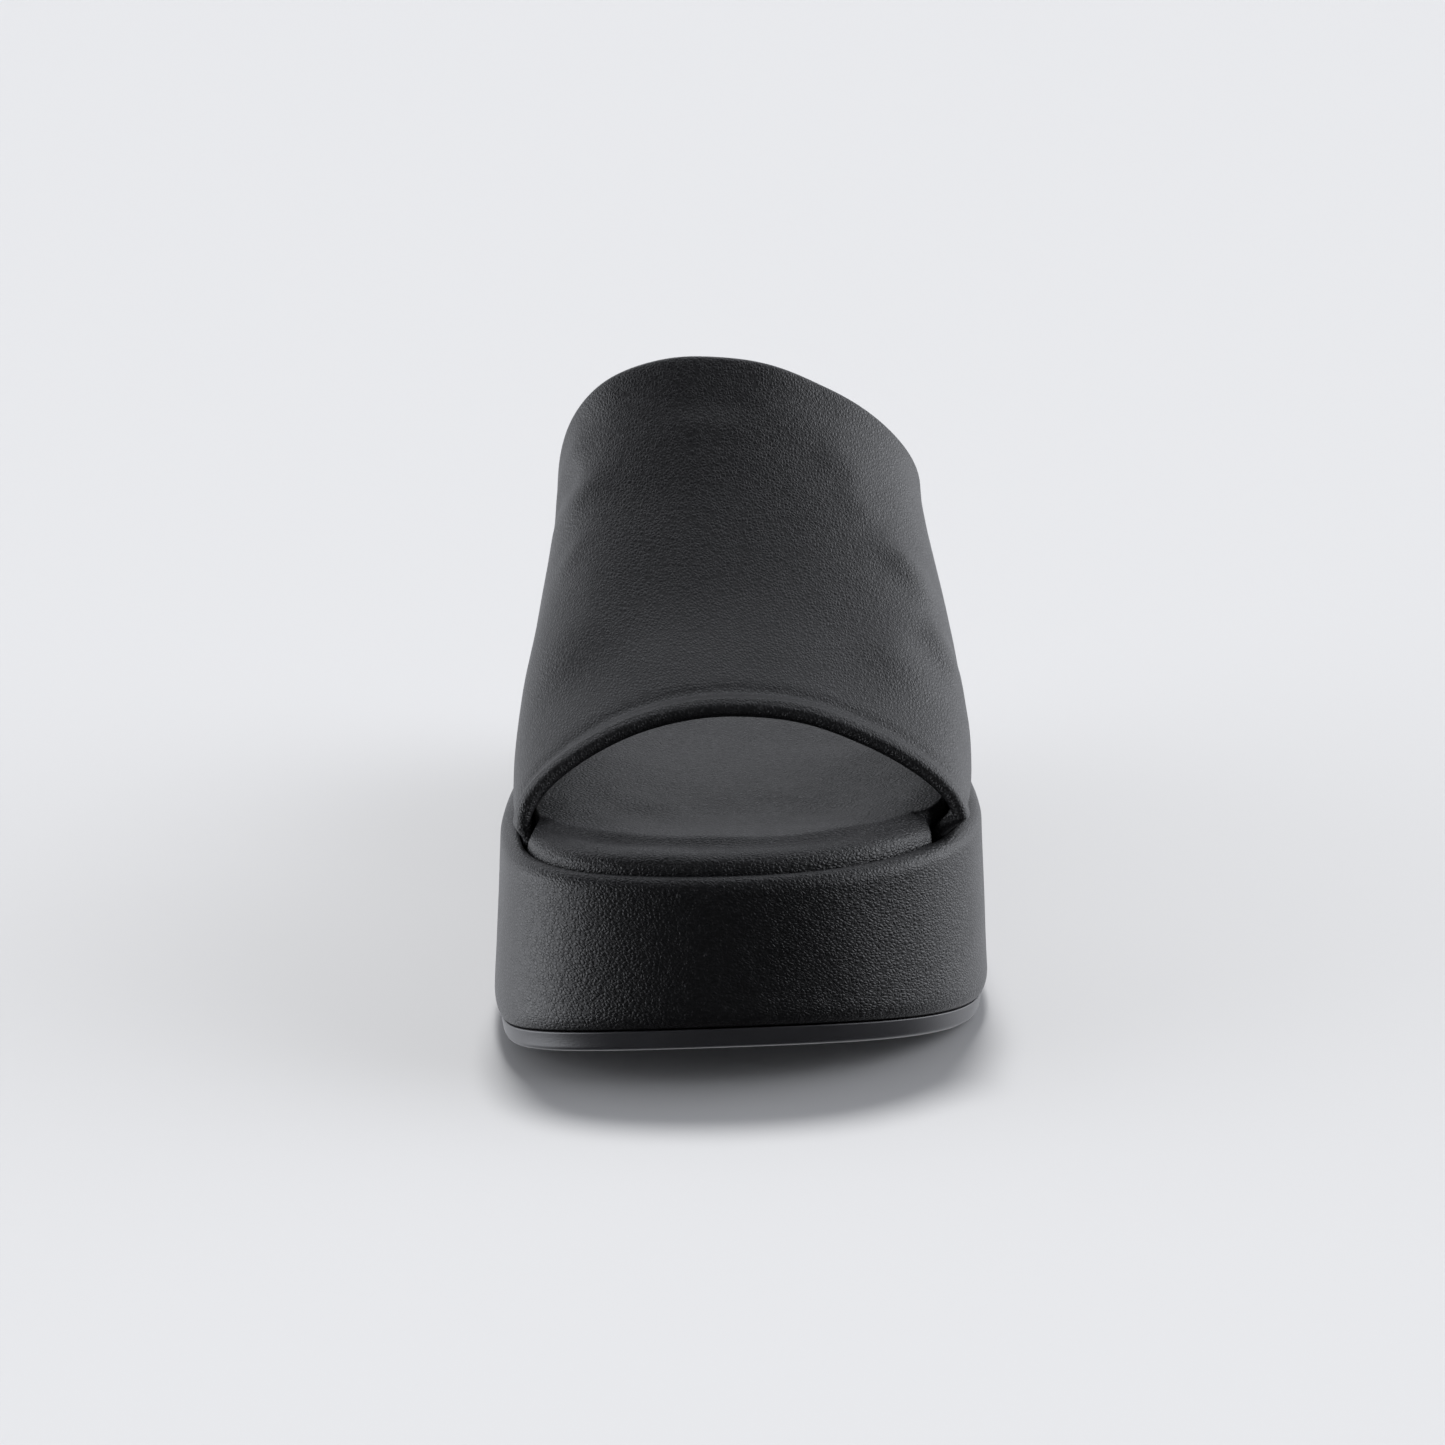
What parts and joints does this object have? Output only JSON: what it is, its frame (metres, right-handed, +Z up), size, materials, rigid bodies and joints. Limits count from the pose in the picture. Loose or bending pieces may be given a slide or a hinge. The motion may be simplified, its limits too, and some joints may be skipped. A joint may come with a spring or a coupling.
{
  "type": "platform mule",
  "caption": "Left leather platform mule: a hollow open-toe band over a padded insole in a leather-wrapped block sole with a thin rubber outsole",
  "frame": {"origin": "on the ground plane under the middle of the shoe's box, where the flats of forefoot and heel lie", "axes": "+X to the outer side of the left foot, +Y from toe to heel, +Z up"},
  "size_m": [0.0964, 0.2519, 0.1159],
  "materials": {
    "outsole": "matt, fine tread",
    "platform": "soft semi-gloss, small grain",
    "insole": "soft semi-gloss, fine wrinkles",
    "upper": "soft semi-gloss, small grain"
  },
  "bodies": {
    "root": {"outsole": "outsole", "platform": "platform", "insole": "insole", "upper": "upper"}
  },
  "joints": []
}
